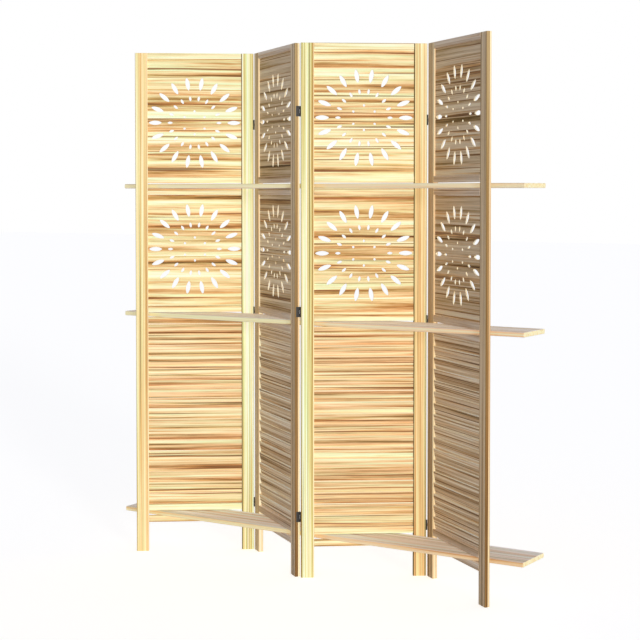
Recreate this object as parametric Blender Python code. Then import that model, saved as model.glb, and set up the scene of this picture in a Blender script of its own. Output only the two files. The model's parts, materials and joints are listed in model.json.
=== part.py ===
# Folding screen of four hinged wooden panels, with three long shelves that pass through slots
# in the panels. Metres, +Z up, the front towards -Y, origin on the floor under the shelves' middle.

import bpy
import bmesh
from math import cos, hypot, pi, radians, sin
from mathutils import Matrix, Vector

# Panels
panel_count = 4
panel_width = 0.4015
panel_height = 1.700
panel_thickness = 0.017
fold_angle = radians(36.4)        # each panel's angle to the shelves as it stands
stile_width = 0.042
stile_edge_radius = 0.003
rail_height = 0.021
leg_height = 0.100                # floor to the lowest rail
middle_shelf_level = 0.802        # floor of the middle slot
upper_shelf_level = 1.241         # floor of the upper slot
seat_gap = 0.0003                 # between pieces that touch

# Joinery inside a panel
tenon_length = 0.012
tenon_shoulder = 0.005
groove_depth = 0.005
board_thickness = 0.005

# Shelves
shelf_thickness = 0.015
shelf_edge_radius = 0.0035
shelf_left_overhang = 0.080       # past the free edges of the screen
shelf_right_overhang = 0.089
shelf_side_play = 0.0125          # from each stile that the shelf passes
slot_play = 0.003                 # slot height over the shelf's thickness

# Louvres
slat_width = 0.041
slat_thickness = 0.0055
slat_spacing = 0.0365
slat_tilt = radians(11.5)         # top edge towards the front
slat_housing = 0.003              # how far a slat is let into its stile

# Sunburst cut through each board
sun_margin = 0.004                # from the outer petal tips to the board's clear edge
sun_lift_shares = {"upper": -0.0375, "lower": 0.012}
# of the sun's radius: centre distance, petal length, petal width
outer_ring_shares = (0.861, 0.278, 0.094)
middle_ring_shares = (0.536, 0.112, 0.055)
inner_ring_shares = (0.253, 0.056, 0.050)
outer_petals = 18
inner_petals = 6

# Butt hinges
hinge_face_offset = 0.0018        # pin axis in front of the face that folds inwards
leaf_height = 0.033
leaf_thickness = 0.0009
leaf_clearance = 0.0003           # from a let-in leaf to the plane midway between two panels
leaf_margin = 0.001               # from a leaf to the rounding of the stile's edge
knuckle_clearance = 0.0005
knuckle_gap = 0.0003
middle_knuckle_height = 0.011
pin_radius = 0.0011
pin_bore_play = 0.0003
hinge_top_inset = 0.242           # panel top to the upper hinges' middle
hinge_middle_level = 0.821
hinge_low_level = 0.165
rear_hinge_lift = 0.027           # the hinges behind the middle fold sit higher
knuckle_sides = 8
edge_segments = 2

# Worked out from the sizes above
inner_width = panel_width - 2 * stile_width
slot_height = shelf_thickness + slot_play
lower_shelf_level = leg_height + rail_height
axis_along = panel_width / 2 + leaf_clearance
axis_across = panel_thickness / 2 + hinge_face_offset
panel_step = 2 * (axis_along * cos(fold_angle) + axis_across * sin(fold_angle))
corner_reach = hypot(leaf_clearance + stile_edge_radius, hinge_face_offset + stile_edge_radius)
knuckle_radius = corner_reach - stile_edge_radius - knuckle_clearance
leaf_width = panel_thickness + hinge_face_offset - stile_edge_radius - leaf_margin
slot_clear_width = inner_width * sin(fold_angle) - panel_thickness * cos(fold_angle)
shelf_width = slot_clear_width - 2 * shelf_side_play
half_panel_reach = panel_width / 2 * cos(fold_angle) + panel_thickness / 2 * sin(fold_angle)
shelf_overhangs = shelf_left_overhang + shelf_right_overhang
shelf_length = (panel_count - 1) * panel_step + 2 * half_panel_reach + shelf_overhangs
panels_middle = (shelf_left_overhang - shelf_right_overhang) / 2
cut_overrun = 4 * seat_gap

# Rail undersides, from the floor up
rail_levels = {
    "lower_shelf_rail": leg_height,
    "lower_cap_rail": lower_shelf_level + slot_height,
    "middle_shelf_rail": middle_shelf_level - rail_height,
    "middle_cap_rail": middle_shelf_level + slot_height,
    "upper_shelf_rail": upper_shelf_level - rail_height,
    "upper_cap_rail": upper_shelf_level + slot_height,
    "top_rail": panel_height - rail_height,
}
board_fields = {
    "lower": (rail_levels["middle_cap_rail"] + rail_height, rail_levels["upper_shelf_rail"]),
    "upper": (rail_levels["upper_cap_rail"] + rail_height, rail_levels["top_rail"]),
}
louvre_field = (rail_levels["lower_cap_rail"] + rail_height, rail_levels["middle_shelf_rail"])

# Levels of the hinges' middles, which rear_hinge_lift raises at each fold that points forward
hinge_levels = {
    "low": hinge_low_level,
    "middle": hinge_middle_level,
    "top": panel_height - hinge_top_inset,
}

for old in list(bpy.data.objects):
    bpy.data.objects.remove(old, do_unlink=True)

parts = bpy.data.collections.new("folding_screen_with_shelves")
cutters = bpy.data.collections.new("cutters")
for group in (parts, cutters):
    bpy.context.scene.collection.children.link(group)


def linear(hex_colour):
    channels = [int(hex_colour[k:k + 2], 16) / 255 for k in (1, 3, 5)]
    return [c / 12.92 if c <= 0.04045 else ((c + 0.055) / 1.055) ** 2.4 for c in channels] + [1]


def material(name, hex_colour, roughness, metallic=0.0):
    new = bpy.data.materials.new(name)
    new.use_nodes = True
    shader = new.node_tree.nodes["Principled BSDF"]
    shader.inputs["Base Color"].default_value = linear(hex_colour)
    shader.inputs["Roughness"].default_value = roughness
    shader.inputs["Metallic"].default_value = metallic
    new.diffuse_color = linear(hex_colour)
    return new


wood_finishes = {
    "stile": ("#F2DFA6", 0.55),
    "rail": ("#EBC88C", 0.55),
    "board": ("#EDC587", 0.52),
    "louvre": ("#E9C083", 0.55),
    "shelf": ("#D9BE98", 0.50),
}
hinge_finish = ("#1E1D1C", 0.42, 0.6)


def mesh_from(bm, name):
    mesh = bpy.data.meshes.new(name)
    bm.normal_update()
    bm.to_mesh(mesh)
    bm.free()
    return mesh


def add_block(bm, low, high):
    size = [b - a for a, b in zip(low, high)]
    middle = Vector([(a + b) / 2 for a, b in zip(low, high)])
    placed = Matrix.Translation(middle) @ Matrix.Diagonal((*size, 1))
    return bmesh.ops.create_cube(bm, size=1, matrix=placed)["verts"]


def round_long_edges(bm, axis, radius, segments):
    run = [e for e in bm.edges if abs((e.verts[1].co - e.verts[0].co).normalized()[axis]) > 0.99]
    bmesh.ops.bevel(bm, geom=run, offset=radius, offset_type="OFFSET", segments=segments,
                    profile=0.5, affect="EDGES", clamp_overlap=True, material=-1)


def temporary(mesh, group):
    thing = bpy.data.objects.new(mesh.name, mesh)
    group.objects.link(thing)
    if group is cutters:
        thing.hide_render = True
        thing.display_type = "WIRE"
    return thing


# Joins or cuts two closed meshes and gives the mesh that results.
def combined(base_mesh, tool_mesh, operation):
    base = temporary(base_mesh, parts)
    tool = temporary(tool_mesh, cutters)
    step = base.modifiers.new(operation.lower(), "BOOLEAN")
    step.operation = operation
    step.solver = "EXACT"
    step.object = tool
    view = bpy.context.evaluated_depsgraph_get()
    result = bpy.data.meshes.new_from_object(base.evaluated_get(view))
    result.name = base_mesh.name
    for thing in (base, tool):
        bpy.data.objects.remove(thing, do_unlink=True)
    return result


# Fills a flat outline and gives it a thickness along local Z.
def plate(name, outline, thickness):
    curve = bpy.data.curves.new(name, "CURVE")
    curve.dimensions = "2D"
    curve.fill_mode = "BOTH"
    curve.extrude = thickness / 2
    spline = curve.splines.new("POLY")
    spline.points.add(len(outline) - 1)
    for point, (x, y) in zip(spline.points, outline):
        point.co = (x, y, 0, 1)
    spline.use_cyclic_u = True
    drawn = bpy.data.objects.new(name, curve)
    parts.objects.link(drawn)
    view = bpy.context.evaluated_depsgraph_get()
    mesh = bpy.data.meshes.new_from_object(drawn.evaluated_get(view))
    bpy.data.objects.remove(drawn, do_unlink=True)
    bm = bmesh.new()
    bm.from_mesh(mesh)
    bmesh.ops.remove_doubles(bm, verts=bm.verts, dist=seat_gap / 100)
    bmesh.ops.recalc_face_normals(bm, faces=bm.faces)
    return mesh_from(bm, name)


def turned(mesh, matrix):
    mesh.transform(matrix)
    mesh.update()
    return mesh


# The tenon's height range in a rail, and how far a cut for it stands clear of it.
def tenon_block(bm, level, x_low, x_high, clear):
    half = panel_thickness / 2 - tenon_shoulder + clear
    low = (x_low, -half, level + tenon_shoulder - clear)
    high = (x_high, half, level + rail_height - tenon_shoulder + clear)
    add_block(bm, low, high)


# Stile centred on its own width, standing on the floor. side is +1 for the right-hand one,
# whose inner edge faces -X. pin_face is the face, -1 front or 1 back, whose hinge leaves are let
# into its outer edge, and 0 where there is no hinge.
def stile_mesh(name, side, pin_face):
    bm = bmesh.new()
    half = panel_thickness / 2
    add_block(bm, (-stile_width / 2, -half, 0), (stile_width / 2, half, panel_height))
    round_long_edges(bm, 2, stile_edge_radius, edge_segments)
    body = mesh_from(bm, name)
    inner = -side * stile_width / 2
    pockets = bmesh.new()
    for level in rail_levels.values():
        ends = sorted((inner - side * cut_overrun, inner + side * (tenon_length + seat_gap)))
        tenon_block(pockets, level, ends[0], ends[1], seat_gap)
    for bottom, top in board_fields.values():
        ends = sorted((inner - side * cut_overrun, inner + side * groove_depth))
        half_groove = board_thickness / 2 + seat_gap
        add_block(pockets, (ends[0], -half_groove, bottom), (ends[1], half_groove, top))
    if pin_face:
        outer = side * stile_width / 2
        ends = sorted((outer + side * cut_overrun, outer - side * (leaf_thickness + seat_gap)))
        reach = sorted((pin_face * (half + cut_overrun),
                        pin_face * (half + hinge_face_offset - leaf_width - seat_gap)))
        tall = leaf_height / 2 + seat_gap
        lift = rear_hinge_lift if pin_face > 0 else 0
        for level in hinge_levels.values():
            add_block(pockets, (ends[0], reach[0], level + lift - tall),
                      (ends[1], reach[1], level + lift + tall))
    return combined(body, mesh_from(pockets, name + "_pockets"), "DIFFERENCE")


# Slats between the stiles, in the right-hand stile's frame, with their right ends let into it.
def slat_mesh():
    rise = slat_width * cos(slat_tilt) + slat_thickness * sin(slat_tilt)
    bottom, top = (louvre_field[0] + seat_gap, louvre_field[1] - seat_gap)
    steps = max(1, round((top - bottom - rise) / slat_spacing))
    right = -stile_width / 2 + slat_housing
    left = -stile_width / 2 - inner_width + seat_gap
    bm = bmesh.new()
    for k in range(steps + 1):
        middle = bottom + rise / 2 + k * (top - bottom - rise) / steps
        corners = add_block(bm, (left, -slat_thickness / 2, -slat_width / 2),
                            (right, slat_thickness / 2, slat_width / 2))
        lean = Matrix.Translation((0, 0, middle)) @ Matrix.Rotation(slat_tilt, 4, "X")
        bmesh.ops.transform(bm, matrix=lean, verts=corners)
    return mesh_from(bm, "slats")


# Rail centred on the panel, its underside at z = 0, with a tenon at each end.
def rail_mesh(name):
    bm = bmesh.new()
    half_length = inner_width / 2 - seat_gap
    half = panel_thickness / 2
    add_block(bm, (-half_length, -half, 0), (half_length, half, rail_height))
    ends = [f for f in bm.faces if abs(f.normal.x) > 0.99]
    bmesh.ops.inset_individual(bm, faces=ends, thickness=tenon_shoulder, use_even_offset=True)
    for face in bmesh.ops.extrude_discrete_faces(bm, faces=ends)["faces"]:
        out = Vector((face.normal.x, 0, 0)).normalized() * (tenon_length + seat_gap)
        bmesh.ops.translate(bm, vec=out, verts=face.verts)
    return mesh_from(bm, name)


def grooved_rail_mesh(name):
    groove = bmesh.new()
    half_length = inner_width / 2
    half_groove = board_thickness / 2 + seat_gap
    add_block(groove, (-half_length, -half_groove, -cut_overrun), (half_length, half_groove, groove_depth))
    return combined(rail_mesh(name), mesh_from(groove, name + "_groove"), "DIFFERENCE")


# Pointed prism that cuts one petal, its long axis along the line from the sun's centre and a
# corner at its outer tip.
def add_petal(bm, centre, bearing, distance, length, width, corners):
    out = Matrix.Rotation(bearing, 4, "Z") @ Matrix.Translation((distance, 0, 0))
    stretch = Matrix.Diagonal((length / 2, width / 2, 1, 1)) @ Matrix.Rotation(-pi / 2, 4, "Z")
    bmesh.ops.create_cone(bm, cap_ends=True, segments=corners, radius1=1, radius2=1,
                          depth=board_thickness + 2 * cut_overrun,
                          matrix=Matrix.Translation(centre) @ out @ stretch)


# Board cut with a sunburst, held in grooves at its sides and top, and one with the rail under it.
# Its frame is that rail's: x = 0 mid panel, z = 0 at the rail's underside.
def fret_board_mesh(name, which):
    bottom, top = board_fields[which]
    height = top - bottom
    clear_edge = inner_width / 2 - seat_gap
    root_edge = clear_edge - tenon_shoulder
    tongue_edge = clear_edge + groove_depth
    rows = (-rail_height / 2, seat_gap, height - seat_gap, height + groove_depth - seat_gap)
    right = [(root_edge, rows[0]), (root_edge, rows[1]), (tongue_edge, rows[1] + seat_gap),
             (tongue_edge, rows[2]), (clear_edge, rows[2] - seat_gap), (clear_edge, rows[3])]
    outline = right + [(-x, y) for x, y in reversed(right)]
    lift = sun_lift_shares[which] * height
    centre = (0, height / 2 + lift, 0)
    sun_radius = min(inner_width / 2, height / 2 - abs(lift)) - sun_margin
    rings = ((outer_ring_shares, outer_petals, 0, 6), (middle_ring_shares, outer_petals, 0, 4),
             (inner_ring_shares, inner_petals, pi / 2, 3))
    petals = bmesh.new()
    for shares, count, first, corners in rings:
        distance, length, width = (share * sun_radius for share in shares)
        for k in range(count):
            bearing = first + 2 * pi * k / count
            add_petal(petals, centre, bearing, distance, length, width, corners)
    board = plate(name, outline, board_thickness)
    board = combined(board, mesh_from(petals, name + "_petals"), "DIFFERENCE")
    upright = Matrix.Translation((0, 0, rail_height)) @ Matrix.Rotation(pi / 2, 4, "X")
    return combined(turned(board, upright), rail_mesh(name + "_rail"), "UNION")


def shelf_mesh():
    bm = bmesh.new()
    add_block(bm, (-shelf_length / 2, -shelf_width / 2, -shelf_thickness / 2),
              (shelf_length / 2, shelf_width / 2, shelf_thickness / 2))
    round_long_edges(bm, 0, shelf_edge_radius, edge_segments)
    return mesh_from(bm, "shelf")


def add_cylinder(bm, radius, low, high):
    placed = Matrix.Translation((0, 0, (low + high) / 2))
    bmesh.ops.create_cone(bm, cap_ends=True, segments=knuckle_sides, radius1=radius,
                          radius2=radius, depth=high - low, matrix=placed)


# Leaf of a butt hinge about the pin axis x = y = 0. It stands on the stile at -X, and reaches
# back along +Y. Its inner edge runs to the pin axis where it has a knuckle, and elsewhere it
# stands clear of the other leaf's knuckles.
def leaf_mesh(name, inner_edge, spans):
    outline = [(leaf_width, -leaf_height / 2), (leaf_width, leaf_height / 2)] + inner_edge
    stand = Matrix(((0, 0, 1, -leaf_clearance - leaf_thickness / 2), (1, 0, 0, 0),
                    (0, 1, 0, 0), (0, 0, 0, 1)))
    knuckles = bmesh.new()
    for low, high in spans:
        add_cylinder(knuckles, knuckle_radius, low, high)
    flat = turned(plate(name, outline, leaf_thickness), stand)
    return combined(flat, mesh_from(knuckles, name + "_knuckles"), "UNION")


def outer_leaf_mesh():
    half = leaf_height / 2
    split = middle_knuckle_height / 2 + knuckle_gap
    clear = knuckle_radius + knuckle_clearance
    notch = split + knuckle_gap
    inner_edge = [(0, half), (0, notch), (clear, notch), (clear, -notch), (0, -notch), (0, -half)]
    knuckle_end = half - knuckle_gap
    leaf = leaf_mesh("outer_leaf", inner_edge, [(split, knuckle_end), (-knuckle_end, -split)])
    bore = bmesh.new()
    reach = leaf_height / 2 + cut_overrun
    add_cylinder(bore, pin_radius + pin_bore_play, -reach, reach)
    return smooth_round(combined(leaf, mesh_from(bore, "bore"), "DIFFERENCE"))


# The middle knuckle carries the pin.
def pin_leaf_mesh():
    half = leaf_height / 2
    knuckle_end = middle_knuckle_height / 2
    clear = knuckle_radius + knuckle_clearance
    neck = knuckle_end - knuckle_gap
    inner_edge = [(clear, half), (clear, neck), (0, neck), (0, -neck), (clear, -neck), (clear, -half)]
    leaf = leaf_mesh("pin_leaf", inner_edge, [(-knuckle_end, knuckle_end)])
    pin = bmesh.new()
    add_cylinder(pin, pin_radius, -half, half)
    return smooth_round(combined(leaf, mesh_from(pin, "pin"), "UNION"))


def smooth_round(mesh):
    mesh.shade_smooth()
    mesh.set_sharp_from_angle(angle=radians(40))
    return mesh


def place(name, mesh, finish, parent, location, rotation=(0, 0, 0)):
    piece = bpy.data.objects.new(name, mesh)
    parts.objects.link(piece)
    piece.parent = parent
    piece.location = location
    piece.rotation_euler = rotation
    own = mesh.copy() if mesh.materials else mesh
    own.materials.clear()
    own.materials.append(material(name, *finish))
    piece.data = own
    return piece


def empty(name, parent, location, turn):
    guide = bpy.data.objects.new(name, None)
    parts.objects.link(guide)
    guide.empty_display_size = stile_width
    guide.parent = parent
    guide.location = location
    guide.rotation_euler = (0, 0, turn)
    return guide


panel_meshes = {
    "plain_rail": rail_mesh("plain_rail"),
    "grooved_rail": grooved_rail_mesh("grooved_rail"),
    "lower_fret_board": fret_board_mesh("lower_fret_board", "lower"),
    "upper_fret_board": fret_board_mesh("upper_fret_board", "upper"),
}


# The pins of a fold that points back, such as the first, lie in front of its panels, and those of
# a fold that points forward lie behind them. Fold 0 and the last one are the free edges.
def pin_face_of(fold):
    if fold in (0, panel_count):
        return 0
    return -1 if fold % 2 else 1


# One panel's pieces. centre is the panel's middle in the frame of the empty on its hinge axis.
def build_panel(number, frame, centre):
    name = "panel_%d_" % number
    stile_shift = panel_width / 2 - stile_width / 2
    x, y = centre
    left = stile_mesh(name + "left", -1, pin_face_of(number - 1))
    right = combined(stile_mesh(name + "right", 1, pin_face_of(number)), slat_mesh(), "UNION")
    place(name + "left_stile", left, wood_finishes["stile"], frame, (x - stile_shift, y, 0))
    place(name + "right_stile_louvres", right, wood_finishes["louvre"], frame, (x + stile_shift, y, 0))
    for rail in ("lower_shelf_rail", "lower_cap_rail", "middle_shelf_rail"):
        place(name + rail, panel_meshes["plain_rail"], wood_finishes["rail"], frame,
              (x, y, rail_levels[rail]))
    for rail in ("upper_shelf_rail", "top_rail"):
        place(name + rail, panel_meshes["grooved_rail"], wood_finishes["rail"], frame,
              (x, y, rail_levels[rail]))
    place(name + "lower_fret_board", panel_meshes["lower_fret_board"], wood_finishes["board"], frame,
          (x, y, rail_levels["middle_cap_rail"]))
    place(name + "upper_fret_board", panel_meshes["upper_fret_board"], wood_finishes["board"], frame,
          (x, y, rail_levels["upper_cap_rail"]))


# The chain of panels. Odd panels turn one way and even ones the other. A panel's frame is the
# empty on the pin axis that joins it to the panel before, so turning the empty folds the screen.
first_middle = panels_middle - (panel_count - 1) / 2 * panel_step
frames = [empty("panel_1_frame", None, (first_middle, 0, 0), fold_angle)]
centres = [(0, 0)]
for number in range(2, panel_count + 1):
    front = -1 if number % 2 == 0 else 1
    last = Vector(centres[-1])
    pin_axis = last + Vector((axis_along, front * axis_across))
    turn = front * 2 * fold_angle
    frames.append(empty("panel_%d_frame" % number, frames[-1], (*pin_axis, 0), turn))
    centres.append((axis_along, -front * axis_across))
for number in range(1, panel_count + 1):
    build_panel(number, frames[number - 1], centres[number - 1])

# Hinges at each fold: the outer leaf on the panel before, the pin leaf on the panel after.
outer_leaf = outer_leaf_mesh()
pin_leaf = pin_leaf_mesh()
for number in range(1, panel_count):
    folds_back = number % 2 == 0
    pin_side = axis_across if folds_back else -axis_across
    axis_place = Vector(centres[number - 1]) + Vector((axis_along, pin_side))
    lift = rear_hinge_lift if folds_back else 0
    for level_name, level in hinge_levels.items():
        name = "hinge_%d_%d_%s_" % (number, number + 1, level_name)
        before = (pi if folds_back else 0, 0, 0)
        after = (0, 0, pi) if folds_back else (0, pi, 0)
        place(name + "outer_leaf", outer_leaf, hinge_finish, frames[number - 1],
              (*axis_place, level + lift), before)
        place(name + "pin_leaf", pin_leaf, hinge_finish, frames[number], (0, 0, level + lift), after)

# Shelves lie along the run. Their frame turns about the middle of panel 1 as the screen folds.
shelves = empty("shelf_frame", frames[0], (0, 0, 0), -fold_angle)
plank = shelf_mesh()
shelf_levels = {
    "lower_shelf": lower_shelf_level,
    "middle_shelf": middle_shelf_level,
    "upper_shelf": upper_shelf_level,
}
for name, level in shelf_levels.items():
    place(name, plank, wood_finishes["shelf"], shelves,
          (-first_middle, 0, level + seat_gap + shelf_thickness / 2))
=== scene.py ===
# Folding screen with shelves: the wood, the fretwork, the hinge finish and the studio around its frame.
import json
import random
from math import cos, pi, radians, sin

import bmesh
import bpy
from mathutils import Matrix, Vector


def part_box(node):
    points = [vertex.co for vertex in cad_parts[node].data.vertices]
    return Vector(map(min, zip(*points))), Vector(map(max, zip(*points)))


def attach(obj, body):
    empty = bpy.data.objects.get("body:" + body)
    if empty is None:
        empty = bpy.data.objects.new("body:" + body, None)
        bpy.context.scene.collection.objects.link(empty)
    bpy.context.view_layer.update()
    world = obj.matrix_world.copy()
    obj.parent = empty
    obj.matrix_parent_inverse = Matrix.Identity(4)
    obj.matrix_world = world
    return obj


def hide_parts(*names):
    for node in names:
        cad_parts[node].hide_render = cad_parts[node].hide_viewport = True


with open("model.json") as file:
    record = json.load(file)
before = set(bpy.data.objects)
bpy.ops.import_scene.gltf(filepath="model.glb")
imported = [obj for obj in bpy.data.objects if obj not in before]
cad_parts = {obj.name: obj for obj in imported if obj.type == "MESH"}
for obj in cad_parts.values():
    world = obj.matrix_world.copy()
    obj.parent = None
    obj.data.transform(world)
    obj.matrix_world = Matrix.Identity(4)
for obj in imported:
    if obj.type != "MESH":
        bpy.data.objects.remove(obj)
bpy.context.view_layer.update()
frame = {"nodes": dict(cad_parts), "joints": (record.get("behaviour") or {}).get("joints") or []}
chance = random.Random(7)  # one seed, so that every run cuts the same timber
print("frame loaded")


# The sRGB curve, from a hex colour to the linear one that nodes and lamps take.
def toLinear(hexColour):
    channels = [int(hexColour[k:k + 2], 16) / 255 for k in (1, 3, 5)]
    return [c / 12.92 if c <= 0.04045 else ((c + 0.055) / 1.055) ** 2.4 for c in channels] + [1]


# Adds a node, sets its properties and sockets, and links the sockets that are given another's output.
def addNode(tree, kind, sockets=None, stops=None, **settings):
    node = tree.nodes.new(kind)
    for key, value in settings.items():
        setattr(node, key, value)
    for key, value in (sockets or {}).items():
        if isinstance(value, bpy.types.NodeSocket):
            tree.links.new(value, node.inputs[key])
        else:
            node.inputs[key].default_value = value
    for k, (place, colour) in enumerate(stops or []):
        points = node.color_ramp.elements
        point = points[k] if k < 2 else points.new(place)  # a new ramp has two points already
        point.position = place
        point.color = toLinear(colour)
    return node


def newMaterial(name):
    material = bpy.data.materials.new(name)
    material.use_nodes = True
    return material, material.node_tree, material.node_tree.nodes["Principled BSDF"]


# What all the woods have in common. Each noise is given its detail and its roughness.
woodFigure = {
    "sway": (1.5, 0.5), "streak": (6, 0.74), "heart": (5, 0.65), "line": (2, 0.5),
    "blush": (3, 0.6), "fibre": (2, 0.6),
    "noiseSpan": (0.3, 0.7),  # where nearly all of a noise lies
    "swayWidth": 90, "swayGain": 4, "swayDepth": 0.4,  # the depth is the share that goes into the face
    "stainRim": "#F4D3A4",  # the orange around every stain
    "blushSize": (8, 800), "blushTones": [(0.38, "#E9FEFE"), (0.5, "#F5F5F5"), (0.62, "#FFEFF0")],
    "fibreTone": (0.92, 1.04), "fibreRelief": 0.12, "fibreHeight": 0.0003,
    "openGrain": 0.08, "closeGrain": -0.05,  # added to the roughness
    "lacquerIor": 1.5,
}

# Paulownia, planed, with a clear matt lacquer: straight streaks from near white to orange, thin
# dark brown lines and now and then a band of dark heartwood, under a soft sheen. The sizes are in
# millimetres, across and along the grain. Fibres finer than 1 mm are drawn coarser, so as to show.
# The first three are grains that several of the looks share.
railGrain = {
    "streak": (16, 1200), "line": (6.5, 900), "heart": (60, 1500), "fibre": (1.4, 160),
    "wander": 1.8, "wanderLength": 520, "lineStart": 0.58, "lineEnd": 0.67,
    "heartStart": 0.66, "heartEnd": 0.72, "heartShare": 0.5, "roughness": 0.46, "gloss": 0.2,
}
stileGrain = {
    "streak": (8, 2200), "line": (4, 1800), "heart": (60, 3000), "fibre": (1.2, 200),
    "wander": 1, "wanderLength": 700, "lineStart": 0.58, "lineEnd": 0.67,
    "heartStart": 0.68, "heartEnd": 0.74, "heartShare": 0.3, "roughness": 0.46, "gloss": 0.2,
}
shelfEdgeGrain = {
    "streak": (9, 1600), "line": (6, 1000), "heart": (60, 2000), "fibre": (1.4, 160),
    "wander": 2.5, "wanderLength": 700, "lineStart": 0.61, "lineEnd": 0.7,
    "heartTone": "#C9A071", "heartStart": 0.68, "heartEnd": 0.74, "heartShare": 0.3,
    "blushShare": 0.3, "roughness": 0.46, "gloss": 0.2,
}
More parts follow.
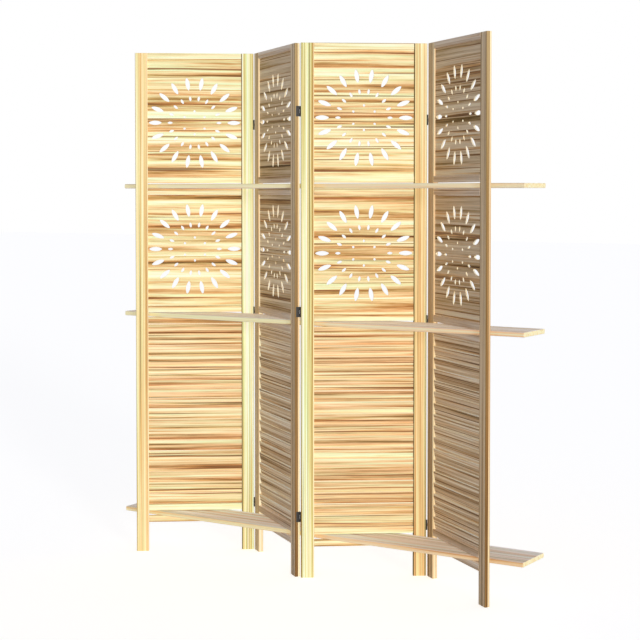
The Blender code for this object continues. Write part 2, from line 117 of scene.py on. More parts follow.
woodLooks = {
    # wide boards from the golden log: broad streaks of cream and orange, with bands of heartwood
    "goldPlanedPaulowniaBoard": {
        "streak": (24, 1200), "line": (7, 900), "heart": (32, 1600), "fibre": (1.4, 160),
        "wander": 2.2, "wanderLength": 520,
        "tones": [(0.33, "#5C3D0B"), (0.41, "#C8924E"), (0.48, "#EFCF94"),
                  (0.54, "#F8EFB5"), (0.62, "#FFFFDA")],
        "lineTone": "#88581F", "lineStart": 0.57, "lineEnd": 0.66, "lineShare": 0.85,
        "heartTone": "#A8743A", "heartStart": 0.61, "heartEnd": 0.68, "heartShare": 0.7,
        "blushShare": 0.85, "roughness": 0.46, "gloss": 0.2,
    },
    # slats from the same log, in narrower stock: finer streaks, and a brown line on most of them
    "goldPlanedPaulowniaSlat": {
        "streak": (13, 1100), "line": (5, 900), "heart": (50, 1700), "fibre": (1.4, 160),
        "wander": 1.8, "wanderLength": 480,
        "tones": [(0.33, "#563C10"), (0.41, "#C1945F"), (0.48, "#EBC691"),
                  (0.54, "#F6E1AD"), (0.62, "#FDFACC")],
        "lineTone": "#7A4E18", "lineStart": 0.565, "lineEnd": 0.65, "lineShare": 0.85,
        "heartTone": "#B08048", "heartStart": 0.64, "heartEnd": 0.7, "heartShare": 0.5,
        "blushShare": 0.85, "roughness": 0.46, "gloss": 0.2,
    },
    # rails, picked from straight stock: light and calm
    "goldPlanedPaulowniaRail": {
        **railGrain,
        "tones": [(0.33, "#694816"), (0.41, "#D2A366"), (0.48, "#F2D49C"),
                  (0.54, "#F9F0B9"), (0.62, "#FFFFDA")],
        "lineTone": "#905F27", "lineShare": 0.75, "heartTone": "#B08048", "blushShare": 0.85,
    },
    # the second and fourth panels, which turn away from the lamps, take a duller copy of the gold wood:
    # beige in place of gold, with darker bands, which is painted shade
    "paintedShadePlanedPaulowniaBoard": {
        "streak": (18, 1600), "line": (6, 1300), "heart": (30, 1900), "fibre": (1.4, 160),
        "wander": 1.6, "wanderLength": 620,
        "tones": [(0.34, "#583E08"), (0.41, "#B89868"), (0.48, "#DBC4A0"),
                  (0.54, "#EDD8B9"), (0.61, "#FCEECD")],
        "lineTone": "#784D13", "lineStart": 0.56, "lineEnd": 0.65, "lineShare": 0.9,
        "heartTone": "#8E5C22", "heartStart": 0.58, "heartEnd": 0.65, "heartShare": 0.85,
        "blushShare": 0, "roughness": 0.46, "gloss": 0.2,
    },
    # its slats are as dull, painted shade as well, and striped light and dark more finely
    "paintedShadePlanedPaulowniaSlat": {
        "streak": (11, 1500), "line": (4.5, 1200), "heart": (60, 1500), "fibre": (1.4, 160),
        "wander": 1.2, "wanderLength": 560,
        "tones": [(0.34, "#5A4113"), (0.41, "#C1A17B"), (0.48, "#DBC5A3"),
                  (0.54, "#F0DBBE"), (0.61, "#FFF8E1")],
        "lineTone": "#644013", "lineStart": 0.55, "lineEnd": 0.64, "lineShare": 0.9,
        "heartTone": "#A07440", "heartStart": 0.64, "heartEnd": 0.7, "heartShare": 0.6,
        "blushShare": 0, "roughness": 0.46, "gloss": 0.2,
    },
    # its rails are an even beige, painted shade as well
    "paintedShadePlanedPaulowniaRail": {
        **railGrain,
        "tones": [(0.33, "#7A5F33"), (0.41, "#C7AA85"), (0.48, "#DAC3A7"),
                  (0.54, "#E6D3BB"), (0.62, "#F8EBD7")],
        "lineTone": "#8A6030", "lineShare": 0.7, "heartTone": "#A07440", "blushShare": 0,
    },
    # the walls of the petals, clean from the router: nearly white, even and a little duller. The same
    # wood is a painted highlight on the upper edges of the second and fourth panels' slats
    "routedPaulowniaWallAndPaintedHighlight": {
        "streak": (9, 300), "line": (6, 300), "heart": (60, 1500), "fibre": (1.2, 40),
        "wander": 1, "wanderLength": 300,
        "tones": [(0.33, "#F3D7A4"), (0.41, "#FBE8BE"), (0.48, "#FFF3D2"),
                  (0.54, "#FFF9E0"), (0.62, "#FFFDEE")],
        "lineTone": "#D8B47C", "lineStart": 0.62, "lineEnd": 0.72, "lineShare": 0.5,
        "heartTone": "#D8B47C", "heartStart": 0.7, "heartEnd": 0.8, "heartShare": 0.3,
        "blushShare": 0, "roughness": 0.55, "gloss": 0.2,
    },
    # stiles of sapwood: pale with a green cast, and pinstriped with thin olive lines
    "palePlanedPaulowniaStile": {
        **stileGrain,
        "tones": [(0.37, "#B3863B"), (0.43, "#D9C378"), (0.49, "#ECE69F"),
                  (0.54, "#F4F6B9"), (0.6, "#FCFFE8")],
        "lineTone": "#7C6C34", "lineStart": 0.565, "lineEnd": 0.65, "lineShare": 0.85,
        "heartTone": "#B08850", "blushShare": 0.6,
    },
    # stiles from nearer the heart: a warmer yellow with softer lines
    "warmPlanedPaulowniaStile": {
        **stileGrain,
        "streak": (9, 2200), "line": (4.5, 1800),
        "tones": [(0.36, "#C88A43"), (0.43, "#E6C180"), (0.49, "#F1D696"),
                  (0.54, "#F7E8A8"), (0.62, "#FDFDD0")],
        "lineTone": "#84683A", "lineShare": 0.7, "heartTone": "#A06A36", "blushShare": 0.6,
    },
    # stiles of the second and fourth panels: a brownish beige, a duller copy of the other stiles that is
    # painted shade
    "brownPlanedPaulowniaStile": {
        **stileGrain,
        "tones": [(0.36, "#816C48"), (0.43, "#AE936C"), (0.49, "#D5B995"),
                  (0.54, "#E6CFA7"), (0.62, "#FAE9C8")],
        "lineTone": "#7A5A30", "lineShare": 0.6, "heartTone": "#8E663A", "blushShare": 0,
    },
    # the front of the stiles' outer edges, brown heartwood: a dark line down every fold
    "planedPaulowniaStileEdge": {
        **stileGrain,
        "streak": (7, 2200), "heart": (40, 3000),
        "tones": [(0.37, "#6B481A"), (0.43, "#896431"), (0.49, "#A07D48"),
                  (0.54, "#B3925D"), (0.62, "#C8B17F")],
        "lineTone": "#7A5424", "lineStart": 0.57, "lineEnd": 0.66, "lineShare": 0.7,
        "heartTone": "#94642F", "heartStart": 0.66, "heartEnd": 0.72, "heartShare": 0.5,
        "blushShare": 0.3, "roughness": 0.5,
    },
    # pale sapwood behind that heartwood, cream. The same wood is a painted highlight on the left stiles'
    # inner edges, which face the lamps, and on the upper edges of the golden slats
    "planedPaulowniaSapwoodAndPaintedHighlight": {
        **stileGrain,
        "streak": (7, 2200),
        "tones": [(0.36, "#E8BD87"), (0.43, "#F6D6A2"), (0.49, "#FFE9B9"),
                  (0.54, "#FFF1C5"), (0.62, "#FFF8D8")],
        "lineTone": "#A87C44", "lineShare": 0.6, "heartTone": "#B08850",
        "blushShare": 0.3, "roughness": 0.5,
    },
    # the right stiles' inner edges, which face away from the lamps: a dull olive brown, painted shade
    "planedPaulowniaStilePaintedShade": {
        **stileGrain,
        "tones": [(0.36, "#5E4A24"), (0.43, "#766037"), (0.49, "#8A7447"),
                  (0.54, "#98845A"), (0.62, "#AA9A71")],
        "lineTone": "#6A5420", "lineShare": 0.6, "heartTone": "#8E663A",
        "blushShare": 0.3, "roughness": 0.55,
    },
    # planks with a thin coat of lacquer: almost white with a pink cast, and nearly matt
    "planedPaulowniaShelf": {
        "streak": (15, 1400), "line": (8, 1000), "heart": (60, 2000), "fibre": (1.4, 160),
        "wander": 3.5, "wanderLength": 700,
        "tones": [(0.36, "#CAAD89"), (0.43, "#EDDCC3"), (0.49, "#F3E7D7"),
                  (0.54, "#F8F0E6"), (0.62, "#FDF8F2")],
        "lineTone": "#9D794E", "lineStart": 0.58, "lineEnd": 0.67, "lineShare": 0.6,
        "heartTone": "#C0A080", "heartStart": 0.66, "heartEnd": 0.74, "heartShare": 0.3,
        "blushShare": 0.6, "roughness": 0.6, "gloss": 0.12,
    },
    # the planks' edges, cut through the sapwood: a clean yellow, a little paler than the tops, which is
    # partly a painted highlight
    "planedPaulowniaShelfEdgeAndHighlight": {
        **shelfEdgeGrain,
        "tones": [(0.36, "#FFD89E"), (0.43, "#FFE8AF"), (0.49, "#FFF1BB"),
                  (0.54, "#FFF7C5"), (0.62, "#FFF7D4")],
        "lineTone": "#C8A46C", "lineShare": 0.4,
    },
    # the same edge at the right, where it runs into the heart of the plank and turns pinker; it too is
    # partly a painted highlight
    "planedPaulowniaShelfHeartEdgeAndHighlight": {
        **shelfEdgeGrain,
        "tones": [(0.36, "#FAC791"), (0.43, "#FFD7A4"), (0.49, "#FFE1B1"),
                  (0.54, "#FFEABE"), (0.62, "#FFF4CC")],
        "lineTone": "#B98C54", "lineShare": 0.5,
    },
}


def woodMaterial(name, look):
    material, tree, shader = newMaterial(name)
    grain = addNode(tree, "ShaderNodeAttribute", attribute_name="grain").outputs["Vector"]
    spanLow, spanHigh = woodFigure["noiseSpan"]

    # one layer of the wood's figure, drawn at its size in millimetres
    def layer(kind, place, size):
        across, along = size
        detail, roughness = woodFigure[kind]
        placed = addNode(tree, "ShaderNodeMapping", {
            "Vector": place, "Scale": (1000 / along, 1000 / across, 1000 / across)})
        return addNode(tree, "ShaderNodeTexNoise", {
            "Vector": placed.outputs[0], "Scale": 1, "Detail": detail, "Roughness": roughness}).outputs

    # stains the wood where a layer runs high, first orange and then dark
    def stained(under, kind):
        start, end = look[kind + "Start"], look[kind + "End"]
        stain = addNode(tree, "ShaderNodeValToRGB", {"Fac": layer(kind, drift, look[kind])["Fac"]},
                        stops=[(start, "#FFFFFF"), (start + (end - start) * 0.5, woodFigure["stainRim"]),
                               (end, look[kind + "Tone"])])
        return addNode(tree, "ShaderNodeMix", {
            "Factor": look[kind + "Share"], 6: under, 7: stain.outputs["Color"]},
            data_type="RGBA", blend_type="MULTIPLY").outputs[2]

    # slow waves that carry all the streaks with them
    sway = layer("sway", grain, (woodFigure["swayWidth"], look["wanderLength"]))
    centred = addNode(tree, "ShaderNodeVectorMath", {0: sway["Color"], 1: (0.5, 0.5, 0.5)},
                      operation="SUBTRACT")
    reach = look["wander"] / 1000 * woodFigure["swayGain"]
    drift = addNode(tree, "ShaderNodeVectorMath", {
        0: centred.outputs[0], 1: (0, reach, reach * woodFigure["swayDepth"]), 2: grain},
        operation="MULTIPLY_ADD").outputs[0]

    streaks = layer("streak", drift, look["streak"])["Fac"]
    toned = addNode(tree, "ShaderNodeValToRGB", {"Fac": streaks}, stops=look["tones"])
    lined = stained(stained(toned.outputs["Color"], "heart"), "line")

    # some streaks turn a little green and others blush pink, and the lift keeps them as light
    blush = addNode(tree, "ShaderNodeValToRGB", {
        "Fac": layer("blush", drift, woodFigure["blushSize"])["Fac"]}, stops=woodFigure["blushTones"])
    blushed = addNode(tree, "ShaderNodeMix", {
        "Factor": look["blushShare"], 6: lined, 7: blush.outputs["Color"]},
        data_type="RGBA", blend_type="MULTIPLY").outputs[2]
    neutral = toLinear(woodFigure["blushTones"][1][1])[0]
    lift = 1 / (1 - look["blushShare"] * (1 - neutral))

    fibres = layer("fibre", drift, look["fibre"])["Fac"]
    darkest, lightest = woodFigure["fibreTone"]
    fibreTone = addNode(tree, "ShaderNodeMapRange", {
        "Value": fibres, "From Min": spanLow, "From Max": spanHigh,
        "To Min": darkest * lift, "To Max": lightest * lift})
    fibred = addNode(tree, "ShaderNodeVectorMath", {0: blushed, "Scale": fibreTone.outputs[0]},
                     operation="SCALE")
    capped = addNode(tree, "ShaderNodeVectorMath", {0: fibred.outputs[0], 1: (1, 1, 1)},
                     operation="MINIMUM")
    tree.links.new(capped.outputs[0], shader.inputs["Base Color"])

    # the lacquer lies a little duller in the open grain
    sheen = addNode(tree, "ShaderNodeMapRange", {
        "Value": streaks, "From Min": spanLow, "From Max": spanHigh,
        "To Min": look["roughness"] + woodFigure["openGrain"],
        "To Max": look["roughness"] + woodFigure["closeGrain"]})
    tree.links.new(sheen.outputs[0], shader.inputs["Roughness"])
    relief = addNode(tree, "ShaderNodeBump", {
        "Height": fibres, "Strength": woodFigure["fibreRelief"], "Distance": woodFigure["fibreHeight"]})
    tree.links.new(relief.outputs[0], shader.inputs["Normal"])
    shader.inputs["IOR"].default_value = woodFigure["lacquerIor"]
    shader.inputs["Specular IOR Level"].default_value = look["gloss"]
    return material


woods = {name: woodMaterial(name, look) for name, look in woodLooks.items()}

# Pressed steel with black stove enamel: a dark satin with a faint orange peel. The screws are the
# same steel blacked in oil: duller, and worn a little lighter in patches.
metalLooks = {
    "blackStoveEnamel": {
        "low": "#151413", "high": "#262421", "wear": (0.35, 0.75), "roughness": 0.42, "metallic": 0,
        "peelSize": 1.8, "peelDetail": 2, "peelShare": 0.15, "peelHeight": 0.0001,
    },
    "oilBlackedSteel": {
        "low": "#1D1B19", "high": "#3A3733", "wear": (0.35, 0.75), "roughness": 0.5, "metallic": 0.6,
        "peelSize": 0.9, "peelDetail": 2, "peelShare": 0.08, "peelHeight": 0.0001,
    },
}


def metalMaterial(name, look):
    material, tree, shader = newMaterial(name)
    place = addNode(tree, "ShaderNodeTexCoord").outputs["Object"]
    peel = addNode(tree, "ShaderNodeTexNoise", {
        "Vector": place, "Scale": 1000 / look["peelSize"], "Detail": look["peelDetail"]}).outputs["Fac"]
    worn = addNode(tree, "ShaderNodeValToRGB", {"Fac": peel},
                   stops=list(zip(look["wear"], (look["low"], look["high"]))))
    tree.links.new(worn.outputs["Color"], shader.inputs["Base Color"])
    relief = addNode(tree, "ShaderNodeBump", {
        "Height": peel, "Strength": look["peelShare"], "Distance": look["peelHeight"]})
    tree.links.new(relief.outputs[0], shader.inputs["Normal"])
    shader.inputs["Roughness"].default_value = look["roughness"]
    shader.inputs["Metallic"].default_value = look["metallic"]
    return material


blackEnamel, screwSteel = (metalMaterial(name, look) for name, look in metalLooks.items())
print("materials made")

screen = {
    "panelCount": 4, "panelWidth": 0.4015, "panelHeight": 1.7, "panelThickness": 0.017,
    "foldAngle": radians(36.4), "stileWidth": 0.042, "railHeight": 0.021, "seam": 0.0003,
}
pins = {joint["name"]: Vector(joint["pos_m"]) for joint in frame["joints"] if "pos_m" in joint}
panelStep = pins["hinge_2_3"].x - pins["hinge_1_2"].x
panelNumbers = range(1, screen["panelCount"] + 1)
innerWidth = screen["panelWidth"] - 2 * screen["stileWidth"]


def panelPlace(number):
    turn = screen["foldAngle"] * (1 if number % 2 else -1)
    middle = pins["hinge_2_3"].x + (number - (screen["panelCount"] + 1) / 2) * panelStep
    return Matrix.Translation((middle, 0, 0)) @ Matrix.Rotation(turn, 4, "Z")


# Each member is made lying down, its grain along X and its face up towards +Z. These turn it up.
upright = Matrix(((0, 1, 0, 0), (0, 0, -1, 0), (-1, 0, 0, 0), (0, 0, 0, 1)))
acrossPanel = Matrix.Rotation(pi / 2, 4, "X")


def levelsOf(node):
    low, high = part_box(node)
    return low.z, high.z


# Panels 1 and 3 are cut from a golden log. Panels 2 and 4, which turn away from the lamps, take a duller
# copy of it: painted shade.
def logOf(number):
    return "gold" if number % 2 else "paintedShade"


# Which fold a stile is hinged at, and whether its pin stands in front (-1) or behind (1).
def foldOf(number, side):
    left = number if side == "right" else number - 1
    if left in (0, screen["panelCount"]):
        return None, 0
    return "hinge_%d_%d" % (left, left + 1), -1 if left % 2 else 1


def leafLevels(fold):
    return [levelsOf("%s_%s_outer_leaf" % (fold, level)) for level in ("low", "middle", "top")]


def addObject(name, data):
    thing = bpy.data.objects.new(name, data)
    bpy.context.scene.collection.objects.link(thing)
    return thing


# Turns a bmesh into a mesh, and frees it.
def meshOf(bm, name):
    mesh = bpy.data.meshes.new(name)
    bm.to_mesh(mesh)
    bm.free()
    return mesh


def bmeshOf(mesh):
    bm = bmesh.new()
    bm.from_mesh(mesh)
    return bm


# Adds one bmesh's shape to another. The one that is added is used up.
def addShape(bm, one):
    loose = meshOf(one, "loose")
    bm.from_mesh(loose)
    bpy.data.meshes.remove(loose)


def addBlock(bm, low, high):
    place = Matrix.Translation([(a + b) / 2 for a, b in zip(low, high)])
    size = Matrix.Diagonal([abs(b - a) for a, b in zip(low, high)] + [1])
    bmesh.ops.create_cube(bm, size=1, matrix=place @ size)


def roundOff(bm, edges, offset, segments):
    bmesh.ops.bevel(bm, geom=edges, offset=offset, offset_type="OFFSET", segments=segments,
                    profile=0.5, affect="EDGES", clamp_overlap=True, material=-1)


# A sawn and planed piece: the long edges rounded, the ends only broken.
def timber(length, width, thickness, edge, segments, endEdge=0):
    bm = bmesh.new()
    bmesh.ops.create_cube(bm, size=1, matrix=Matrix.Diagonal((length, width, thickness, 1)))
    alongGrain = [e for e in bm.edges if abs(e.verts[0].co.x - e.verts[1].co.x) > length / 2]
    roundOff(bm, alongGrain, edge, segments)
    if endEdge:
        # the edges of the two faces that look along the grain
        ends = [e for e in bm.edges if any(abs(face.normal.x) > 0.9 for face in e.link_faces)]
        roundOff(bm, ends, endEdge, 1)
    return bm


# Takes the cutters away from the blank, and gives the cut mesh. Both bmeshes are used up.
def cutAway(blank, cutters):
    wood = addObject("blank", meshOf(blank, "blank"))
    tool = addObject("cutters", meshOf(cutters, "cutters"))
    cut = wood.modifiers.new("cut", "BOOLEAN")
    cut.operation, cut.solver, cut.object = "DIFFERENCE", "EXACT", tool
    view = bpy.context.evaluated_depsgraph_get()
    result = bpy.data.meshes.new_from_object(wood.evaluated_get(view))
    for thing in (wood, tool):
        bpy.data.meshes.remove(thing.data)  # its object goes with it
    return result


# Splits the faces along a plane, so that the wood can change there. A vertex that is nearer to the
# plane than a thousandth of a millimetre counts as on it.
def splitFaces(bm, place, direction):
    bmesh.ops.bisect_plane(bm, geom=bm.verts[:] + bm.edges[:] + bm.faces[:], plane_co=place,
                           plane_no=direction, dist=1e-6)
    bm.normal_update()


logReach = (40, 9, 9)  # metres along and across, far more than one member takes
sharpAngle = radians(35)  # between two faces whose edge stays crisp


# Gives the wood its own stretch of timber, so that no two members share their streaks.
def markGrain(bm):
    layer = bm.verts.layers.float_vector.new("grain")
    cut = Vector([chance.uniform(-reach, reach) for reach in logReach])
    for vert in bm.verts:
        vert[layer] = vert.co + cut


# The faces' material numbers count through the list of woods.
def finishWood(bm, name, place, woodNames, body, slot, *nodes):
    bm.transform(place)
    bm.normal_update()
    mesh = meshOf(bm, name)
    for wood in woodNames:
        mesh.materials.append(woods[wood])
    mesh.shade_smooth()
    mesh.set_sharp_from_angle(angle=sharpAngle)
    piece = addObject(name, mesh)
    weighted = piece.modifiers.new("evenShading", "WEIGHTED_NORMAL")
    weighted.keep_sharp = True
    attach(piece, body)
    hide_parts(*nodes)


# The stiles come in three woods: a pale one, a warm one, and a brown one that is painted shade on the
# panels that turn away from the lamps.
stile = {
    "edge": 0.003, "endEdge": 0.0008, "segments": 4,
    "log": {(1, "left"): "warm", (1, "right"): "pale", (3, "left"): "pale", (3, "right"): "warm"},
    "paintedShadeLog": "brown",
    # the outer edge is heartwood in front of this depth, and sapwood behind it
    "heartwood": -0.0016,
    # how far a face has to look sideways to be on an edge: on the second and fourth panels the rounding
    # counts too
    "outerShare": {"gold": 0.75, "paintedShade": 0.3}, "innerShare": 0.15,
    "leafDepth": 0.0012, "leafLand": 0.0037, "leafPlay": 0.0003, "pocketSpare": 0.002,
}


# The hinge leaves lie flush, each in a shallow pocket open at the pin's face.
def cutPockets(bm, fold, pinFace, outwards):
    halfWidth, halfThickness = screen["stileWidth"] / 2, screen["panelThickness"] / 2
    middle, spare, play = screen["panelHeight"] / 2, stile["pocketSpare"], stile["leafPlay"]
    across = (outwards * (halfWidth - stile["leafDepth"]), outwards * (halfWidth + spare))
    through = (-pinFace * (halfThickness + spare), pinFace * (halfThickness - stile["leafLand"]))
    cutters = bmesh.new()
    for low, high in leafLevels(fold):
        addBlock(cutters, (middle - high - play, across[0], through[0]),
                 (middle - low + play, across[1], through[1]))
    cutMesh = cutAway(bm, cutters)
    cut = bmeshOf(cutMesh)
    bpy.data.meshes.remove(cutMesh)
    return cut


def buildStile(number, side):
    outwards = 1 if side == "right" else -1
    width, height = screen["stileWidth"], screen["panelHeight"]
    bm = timber(height, width, screen["panelThickness"], stile["edge"], stile["segments"],
                stile["endEdge"])
    fold, pinFace = foldOf(number, side)
    if fold:
        bm = cutPockets(bm, fold, pinFace, outwards)
    splitFaces(bm, (0, 0, stile["heartwood"]), (0, 0, 1))
    markGrain(bm)
    for face in bm.faces:
        outness = face.normal.y * outwards
        if outness > stile["outerShare"][logOf(number)]:
            face.material_index = 1 if face.calc_center_median().z > stile["heartwood"] else 2
        # an inner edge: it gets painted shade on a right stile and a painted highlight on a left one
        elif outness < -stile["innerShare"]:
            face.material_index = 3
    offset = (screen["panelWidth"] - width) / 2 * outwards
    place = panelPlace(number) @ Matrix.Translation((offset, 0, height / 2)) @ upright
    node = "panel_%d_left_stile" if side == "left" else "panel_%d_right_stile_louvres"
    wood = stile["log"].get((number, side), stile["paintedShadeLog"]) + "PlanedPaulowniaStile"
    # the inner edge's wood: painted shade on the right stiles, which face away from the lamps, and a
    # painted highlight on the left ones, which face them
    inner = "planedPaulowniaStilePaintedShade" if side == "right" else "planedPaulowniaSapwoodAndPaintedHighlight"
    finishWood(bm, "panel_%d_%s_stile_wood" % (number, side), place,
               [wood, "planedPaulowniaStileEdge", "planedPaulowniaSapwoodAndPaintedHighlight", inner],
               "panel_%d" % number, "stile_wood", node % number)


# The middle and upper cap rails are one node with the sunburst boards above them.
rail = {
    "edge": 0.0008, "segments": 2,
    "names": ("lower_shelf_rail", "lower_cap_rail", "middle_shelf_rail", "upper_shelf_rail",
              "top_rail", "middle_cap_rail", "upper_cap_rail"),
    "nodeOf": {"middle_cap_rail": "lower_fret_board", "upper_cap_rail": "upper_fret_board"},
}


def buildRail(number, name):
    node = "panel_%d_%s" % (number, rail["nodeOf"].get(name, name))
    height = screen["railHeight"]
    bm = timber(innerWidth - 2 * screen["seam"], height, screen["panelThickness"],
                rail["edge"], rail["segments"])
    markGrain(bm)
    middle = levelsOf(node)[0] + height / 2
    place = panelPlace(number) @ Matrix.Translation((0, 0, middle)) @ acrossPanel
    finishWood(bm, "panel_%d_%s_wood" % (number, name), place, [logOf(number) + "PlanedPaulowniaRail"],
               "panel_%d" % number, "rail_wood", node)


slats = {
    "width": 0.041, "thickness": 0.0055, "spacing": 0.0365, "tilt": radians(11.5),
    "edge": 0.0024, "segments": 3,
    # the upper edge of every slat is drawn in paler wood: a painted highlight
    "highlightWood": {"gold": "planedPaulowniaSapwoodAndPaintedHighlight", "paintedShade": "routedPaulowniaWallAndPaintedHighlight"},
    "highlightShare": 0.2,  # how far a face has to look up to get the painted highlight
}


def buildSlats(number):
    bottom = levelsOf("panel_%d_lower_cap_rail" % number)[1] + screen["seam"]
    top = levelsOf("panel_%d_middle_shelf_rail" % number)[0] - screen["seam"]
    rise = slats["width"] * cos(slats["tilt"]) + slats["thickness"] * sin(slats["tilt"])
    steps = round((top - bottom - rise) / slats["spacing"])
    lean = Matrix.Rotation(slats["tilt"], 4, "X")
    bm = bmesh.new()
    for k in range(steps + 1):
        one = timber(innerWidth, slats["width"], slats["thickness"], slats["edge"], slats["segments"])
        one.normal_update()
        markGrain(one)
        # the upper rounding gets the painted highlight
        for face in one.faces:
            face.material_index = 1 if face.normal.y > slats["highlightShare"] else 0
        middle = bottom + rise / 2 + k * (top - bottom - rise) / steps
        one.transform(Matrix.Translation((0, 0, middle)) @ lean @ acrossPanel)
        addShape(bm, one)
    finishWood(bm, "panel_%d_louvre_slats" % number, panelPlace(number),
               [logOf(number) + "PlanedPaulowniaSlat", slats["highlightWood"][logOf(number)]],
               "panel_%d" % number, "louvre_wood", "panel_%d_right_stile_louvres" % number)


sunburst = {
    "radius": 0.15475, "thickness": 0.005, "ease": 0.0004, "groove": 0.005,
    "lift": {"upper": -0.0375, "lower": 0.012},  # of the centre, as a share of the board's height
    "wallShare": 0.4,  # a face that looks forwards or back by less than this is a petal's wall
    # count, first bearing, distance, length and width as shares of the radius, facets, pointedness
    "rings": [
        (18, 0, 0.861, 0.278, 0.094, 28, 0.25),
        (18, 0, 0.536, 0.112, 0.055, 18, 0.35),
        (6, pi / 2, 0.253, 0.056, 0.050, 12, 0.3),
    ],
}


# One petal's cutter: a prism through the board. It flares at 45 degrees from just inside both
# faces to just past them, so that the cut edge is eased.
def addPetal(bm, centre, bearing, distance, length, width, facets, pointed):
    ring = bmesh.ops.create_circle(bm, cap_ends=True, segments=facets, radius=1)["verts"]
    for vert in ring:
        vert.co.y *= 1 - pointed * vert.co.x ** 2
    outline = [vert.co.copy() for vert in ring]
    place = (Matrix.Translation(centre) @ Matrix.Rotation(bearing, 4, "Z")
             @ Matrix.Translation((distance, 0, 0)))
    half, ease = sunburst["thickness"] / 2, sunburst["ease"]
    levels = [(-half - 2 * ease, 3 * ease), (-half + ease, 0),
              (half - ease, 0), (half + 2 * ease, 3 * ease)]

    def setRing(height, flare):
        for vert, flat in zip(ring, outline):
            vert.co = place @ Vector((
                flat.x * (length / 2 + flare), flat.y * (width / 2 + flare), height))

    setRing(*levels[0])
    edges = [edge for edge in bm.edges if edge.verts[0] in ring and edge.verts[1] in ring]
    for height, flare in levels[1:]:
        made = bmesh.ops.extrude_edge_only(bm, edges=edges)["geom"]
        newRing = [item for item in made if isinstance(item, bmesh.types.BMVert)]
        edges = [item for item in made if isinstance(item, bmesh.types.BMEdge)
                 and item.verts[0] in newRing and item.verts[1] in newRing]
        ring = [next(e.other_vert(vert) for e in vert.link_edges if e.other_vert(vert) in newRing)
                for vert in ring]
        setRing(height, flare)
    bmesh.ops.contextual_create(bm, geom=edges)


def fretMesh(which, width, height):
    cutters = bmesh.new()
    centre, radius = (0, sunburst["lift"][which] * height, 0), sunburst["radius"]
    for count, first, distance, length, breadth, facets, pointed in sunburst["rings"]:
        for k in range(count):
            addPetal(cutters, centre, first + 2 * pi * k / count, distance * radius,
                     length * radius, breadth * radius, facets, pointed)
    bmesh.ops.recalc_face_normals(cutters, faces=cutters.faces)
    return cutAway(timber(width, height, sunburst["thickness"], sunburst["ease"], 1), cutters)


def buildFretBoards():
    for which in ("upper", "lower"):
        node = "panel_%d_" + which + "_fret_board"
        bottom, top = levelsOf(node % 1)
        bottom += screen["railHeight"] + screen["seam"]
        top -= sunburst["groove"]
        cutMesh = fretMesh(which, innerWidth, top - bottom)
        for number in panelNumbers:
            bm = bmeshOf(cutMesh)
            bm.normal_update()
            markGrain(bm)
            for face in bm.faces:
                face.material_index = 1 if abs(face.normal.z) < sunburst["wallShare"] else 0
            place = panelPlace(number) @ Matrix.Translation((0, 0, (bottom + top) / 2)) @ acrossPanel
            finishWood(bm, "panel_%d_%s_sunburst" % (number, which), place,
                       [logOf(number) + "PlanedPaulowniaBoard", "routedPaulowniaWallAndPaintedHighlight"],
                       "panel_%d" % number, "board_wood", node % number)
        bpy.data.meshes.remove(cutMesh)


# The shares are how far a face has to look up or down to be on a flat, and forwards to be on the
# front edge.
shelf = {"edge": 0.0035, "endEdge": 0.001, "segments": 4, "flatShare": 0.6, "frontShare": 0.5}


def buildShelf(name):
    low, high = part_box(name)
    size = high - low
    bm = timber(size.x, size.y, size.z, shelf["edge"], shelf["segments"], shelf["endEdge"])
    # right of the middle fold the plank's front edge runs from sapwood into heartwood
    heartFrom = pins["hinge_2_3"].x - (low.x + high.x) / 2
    splitFaces(bm, (heartFrom, 0, 0), (1, 0, 0))
    markGrain(bm)
    for face in bm.faces:
        if abs(face.normal.z) < shelf["flatShare"]:
            inFront = face.normal.y < -shelf["frontShare"]
            face.material_index = 2 if inFront and face.calc_center_median().x > heartFrom else 1
    finishWood(bm, name + "_wood", Matrix.Translation((low + high) / 2),
               ["planedPaulowniaShelf", "planedPaulowniaShelfEdgeAndHighlight", "planedPaulowniaShelfHeartEdgeAndHighlight"],
               name, "shelf_wood", name)


for number in panelNumbers:
    buildStile(number, "left")
    buildStile(number, "right")
    for name in rail["names"]:
        buildRail(number, name)
    buildSlats(number)
print("panels built")
buildFretBoards()
print("sunbursts cut")
for name in ("lower_shelf", "middle_shelf", "upper_shelf"):
    buildShelf(name)
print("shelves built")

# The hinges keep the frame's own leaves and pins.
for name, node in frame["nodes"].items():
    if name.startswith("hinge"):
        node.data.materials.clear()
        node.data.materials.append(blackEnamel)

# Three slotted screws in each leaf, their heads a hair above it.
screw = {
    "radius": 0.0017, "taper": 0.8, "sides": 16, "proud": 0.00012, "sink": 0.0004,
    "slotWidth": 0.0005, "slotDepth": 0.0002, "slotReach": 1.5, "slotSpare": 0.001,
    "fromPin": (0.0098, 0.0082, 0.0098), "pinOffset": 0.0018, "spread": 0.0105,
}


def screwHead():
    head, slot = bmesh.new(), bmesh.new()
    height = screw["proud"] + screw["sink"]
    bmesh.ops.create_cone(head, cap_ends=True, segments=screw["sides"], depth=height,
                          radius1=screw["radius"] * screw["taper"], radius2=screw["radius"],
                          matrix=Matrix.Translation((0, 0, screw["proud"] - height / 2)))
    reach, half = screw["radius"] * screw["slotReach"], screw["slotWidth"] / 2
    addBlock(slot, (-reach, -half, screw["proud"] - screw["slotDepth"]),
             (reach, half, screw["proud"] + screw["slotSpare"]))
    return cutAway(head, slot)


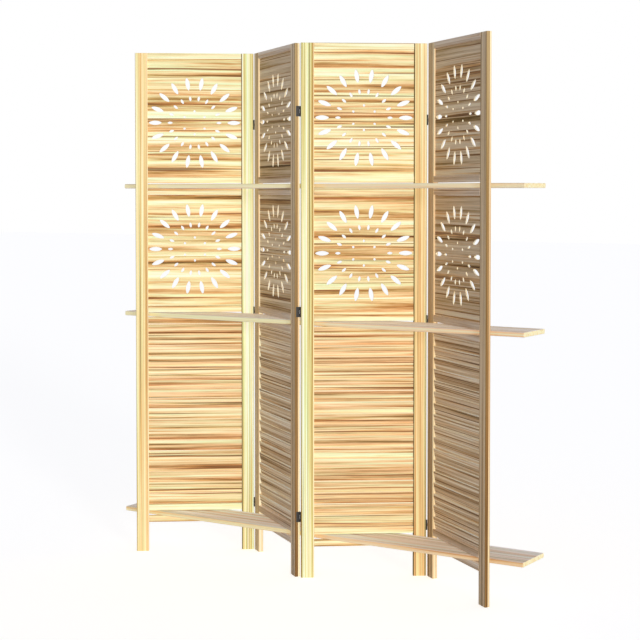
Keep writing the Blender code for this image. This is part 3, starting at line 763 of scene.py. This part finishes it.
def buildScrews(number, side, headMesh):
    fold, pinFace = foldOf(number, side)
    if not fold:
        return
    outwards = 1 if side == "right" else -1
    bm = bmesh.new()
    for low, high in leafLevels(fold):
        for k, fromPin in enumerate(screw["fromPin"]):
            across = pinFace * (screen["panelThickness"] / 2 + screw["pinOffset"] - fromPin)
            level = (low + high) / 2 + (k - 1) * screw["spread"]
            one = bmeshOf(headMesh)
            one.transform(Matrix.Translation((outwards * screen["panelWidth"] / 2, across, level))
                          @ Matrix.Rotation(outwards * pi / 2, 4, "Y")
                          @ Matrix.Rotation(chance.uniform(0, pi), 4, "Z"))
            addShape(bm, one)
    bm.transform(panelPlace(number))
    name = "%s_screws_on_panel_%d" % (fold, number)
    mesh = meshOf(bm, name)
    mesh.materials.append(screwSteel)
    piece = addObject(name, mesh)
    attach(piece, "panel_%d" % number)


headMesh = screwHead()
for number in panelNumbers:
    for side in ("left", "right"):
        buildScrews(number, side, headMesh)
bpy.data.meshes.remove(headMesh)
print("hinges finished")

studio = {
    # bearing from the front towards the right, rise, spread, strength and colour
    "key": (radians(54), radians(9), radians(9), 0.5, "#FFFCF8"),
    "wash": (radians(54), radians(9), radians(9), 1.72, "#FFFCF8"),
    "rear": (radians(180), radians(42), radians(60), 0.8, "#FFF8EE"),
    "skyStrength": 0.31, "skyColour": "#E4E7FF",
    "floorSize": 60, "floorTone": "#F7F7F7", "floorRoughness": 0.9,
    # what the camera sees of the floor: a glow, and this colour where the lamps reach
    "floorGlow": 0.468, "floorShade": "#FDFFFA",
}


# The camera, reflections and glass see one surface, and the light that reaches the object comes
# from the other.
def splitSeen(tree, usual, seen, output):
    path = addNode(tree, "ShaderNodeLightPath").outputs
    direct = addNode(tree, "ShaderNodeMath", {0: path["Is Camera Ray"], 1: path["Is Glossy Ray"]},
                     operation="MAXIMUM")
    looked = addNode(tree, "ShaderNodeMath", {0: direct.outputs[0], 1: path["Is Transmission Ray"]},
                     operation="MAXIMUM")
    chosen = addNode(tree, "ShaderNodeMixShader", {
        "Fac": looked.outputs[0], 1: usual.outputs[0], 2: seen.outputs[0]})
    tree.links.new(chosen.outputs[0], tree.nodes[output].inputs["Surface"])


# White seamless paper, dull and even. The camera sees it near white, and the object's shadow stays
# faintly on it.
def buildFloor():
    bm = bmesh.new()
    bmesh.ops.create_grid(bm, x_segments=1, y_segments=1, size=studio["floorSize"] / 2)
    floor = addObject("studio_floor", meshOf(bm, "studio_floor"))
    material, tree, shader = newMaterial("whiteSeamlessPaper")
    shader.inputs["Base Color"].default_value = toLinear(studio["floorTone"])
    shader.inputs["Roughness"].default_value = studio["floorRoughness"]
    glow = addNode(tree, "ShaderNodeEmission", {"Color": (1, 1, 1, 1), "Strength": studio["floorGlow"]})
    dimmed = addNode(tree, "ShaderNodeBsdfDiffuse", {"Color": toLinear(studio["floorShade"])})
    lit = addNode(tree, "ShaderNodeAddShader", {0: glow.outputs[0], 1: dimmed.outputs[0]})
    splitSeen(tree, shader, lit, "Material Output")
    floor.data.materials.append(material)


def buildSky():
    world = bpy.data.worlds.new("whiteStudio")
    bpy.context.scene.world = world
    world.use_nodes = True
    sky = world.node_tree.nodes["Background"]
    sky.inputs["Color"].default_value = toLinear(studio["skyColour"])
    sky.inputs["Strength"].default_value = studio["skyStrength"]
    white = addNode(world.node_tree, "ShaderNodeBackground", {"Color": (1, 1, 1, 1), "Strength": 1})
    splitSeen(world.node_tree, sky, white, "World Output")


# The key gives the shadows. The wash comes past the folds without any, as from a wide softbox, so
# that the sides of the petals and of the stiles glow on the panels that turn away. The rear lamp
# does the same for the tops of the shelves and for the backs.
def buildLamps():
    for name in ("key", "wash", "rear"):
        bearing, rise, spread, strength, colour = studio[name]
        lamp = bpy.data.lights.new(name, "SUN")
        lamp.energy, lamp.angle = strength, spread
        lamp.color = toLinear(colour)[:3]
        lamp.use_shadow = name == "key"
        towards = Vector((sin(bearing) * cos(rise), -cos(bearing) * cos(rise), sin(rise)))
        addObject(name, lamp).rotation_euler = towards.to_track_quat("Z", "Y").to_euler()


# Fitted to the corners of the panels in the photograph.
camera = {
    "place": (2.6379, -4.1453, 1.2304), "bearing": radians(32.489), "tip": radians(2),
    "lens": 85.469, "sensor": 36, "shift": -0.1176, "clip": (0.05, 100),
}


def buildCamera():
    lens = bpy.data.cameras.new("camera")
    lens.lens, lens.sensor_width, lens.shift_y = camera["lens"], camera["sensor"], camera["shift"]
    lens.clip_start, lens.clip_end = camera["clip"]
    eye = addObject("camera", lens)
    eye.location = camera["place"]
    eye.rotation_euler = (pi / 2 - camera["tip"], 0, camera["bearing"])
    bpy.context.scene.camera = eye


buildFloor()
buildSky()
buildLamps()
buildCamera()
bpy.context.scene.view_settings.view_transform = "Standard"
print("studio ready")
